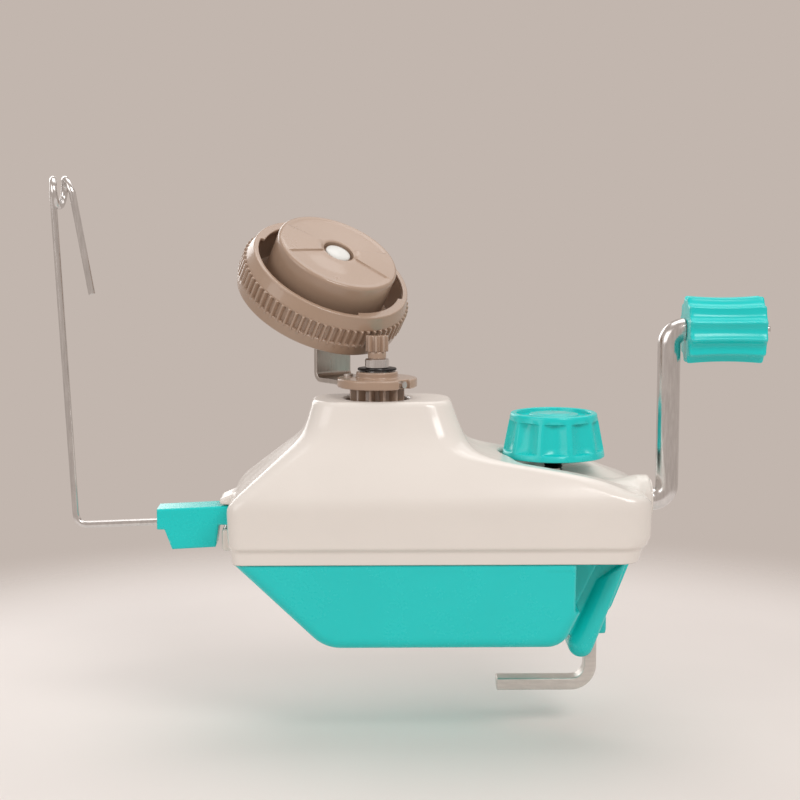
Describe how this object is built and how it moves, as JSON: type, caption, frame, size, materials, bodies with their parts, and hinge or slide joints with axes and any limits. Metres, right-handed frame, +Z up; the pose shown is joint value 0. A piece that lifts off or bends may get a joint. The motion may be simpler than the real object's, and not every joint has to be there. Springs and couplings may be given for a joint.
{
  "type": "yarn ball winder",
  "caption": "Hand-cranked yarn ball winder: geared casing with a tilted turning spool, a crank with grip, a screw clamp for a table edge and a bent wire yarn guide.",
  "frame": {"origin": "spindle axis where it meets the flat underside of the base, which rests on the table top", "axes": "+X along the casing towards the crank, +Y away from the side with the table hook seen in the picture, +Z up along the spindle"},
  "size_m": [0.25, 0.0851, 0.1813],
  "materials": {
    "white_shell": "glossy warm white moulding",
    "teal": "semi-gloss turquoise moulding",
    "brown": "satin light brown moulding",
    "ivory": "plain white moulding",
    "steel": "zinc-plated steel",
    "bright_rod": "bright drawn steel",
    "black": "black oxide",
    "bronze": "plain bearing bronze"
  },
  "bodies": {
    "casing": {"top_shell": "white_shell", "base_shell": "teal", "gear_frame": "ivory", "spindle_post": "steel", "post_clip": "black", "sun_pinion": "brown", "crank_bush": "ivory", "inner_bush": "bronze", "casing_screws": "steel", "frame_screws": "steel"},
    "crank": {"crank_rod": "bright_rod", "crown_gear": "ivory", "gear_pin": "steel", "shaft_ring": "black", "grip_washer": "steel"},
    "grip": {"crank_grip": "teal"},
    "rotor": {"rotor_gear": "brown", "rotor_flange": "brown", "arm_bracket": "steel", "arm_rivets": "steel", "set_screw": "steel", "spool_axle": "steel", "axle_cap": "ivory"},
    "spool": {"ring_gear": "brown", "winding_drum": "brown", "drum_screws": "steel"},
    "knob": {"clamp_knob": "teal", "knob_insert": "black", "knob_cap": "teal"},
    "clamp": {"clamp_hook": "steel", "clamp_stud": "steel", "stud_nut": "steel"},
    "guide": {"guide_bracket": "teal", "guide_wire": "bright_rod"}
  },
  "joints": [
    {"name": "crank_spin", "type": "hinge", "parent": "casing", "child": "crank", "pos_m": [0, 0, 0.0479], "axis": [1, 0, 0], "continuous": true},
    {"name": "grip_spin", "type": "hinge", "parent": "crank", "child": "grip", "pos_m": [0, 0, 0.1078], "axis": [1, 0, 0], "continuous": true},
    {"name": "rotor_spin", "type": "hinge", "parent": "casing", "child": "rotor", "pos_m": [0, 0, 0], "axis": [0, 0, 1], "continuous": true},
    {"name": "spool_spin", "type": "hinge", "parent": "rotor", "child": "spool", "pos_m": [-0.01914, 0.02364, 0.1211], "axis": [0.3519, -0.4346, 0.829], "continuous": true},
    {"name": "knob_turn", "type": "hinge", "parent": "casing", "child": "knob", "pos_m": [0.0625, 0.0055, 0], "axis": [0, 0, 1], "range_deg": [0, 4680]},
    {"name": "clamp_slide", "type": "slide", "parent": "casing", "child": "clamp", "axis": [0, 0, -1], "range_m": [0, 0.013]},
    {"name": "guide_slide", "type": "slide", "parent": "casing", "child": "guide", "axis": [-1, 0, 0], "range_m": [0, 0.012]}
  ],
  "couplings": [
    {"joint": "rotor_spin", "follows": "crank_spin", "ratio": -2.75},
    {"joint": "spool_spin", "follows": "crank_spin", "ratio": -0.31429},
    {"joint": "clamp_slide", "follows": "knob_turn", "m_per_rad": 0.00015915}
  ]
}
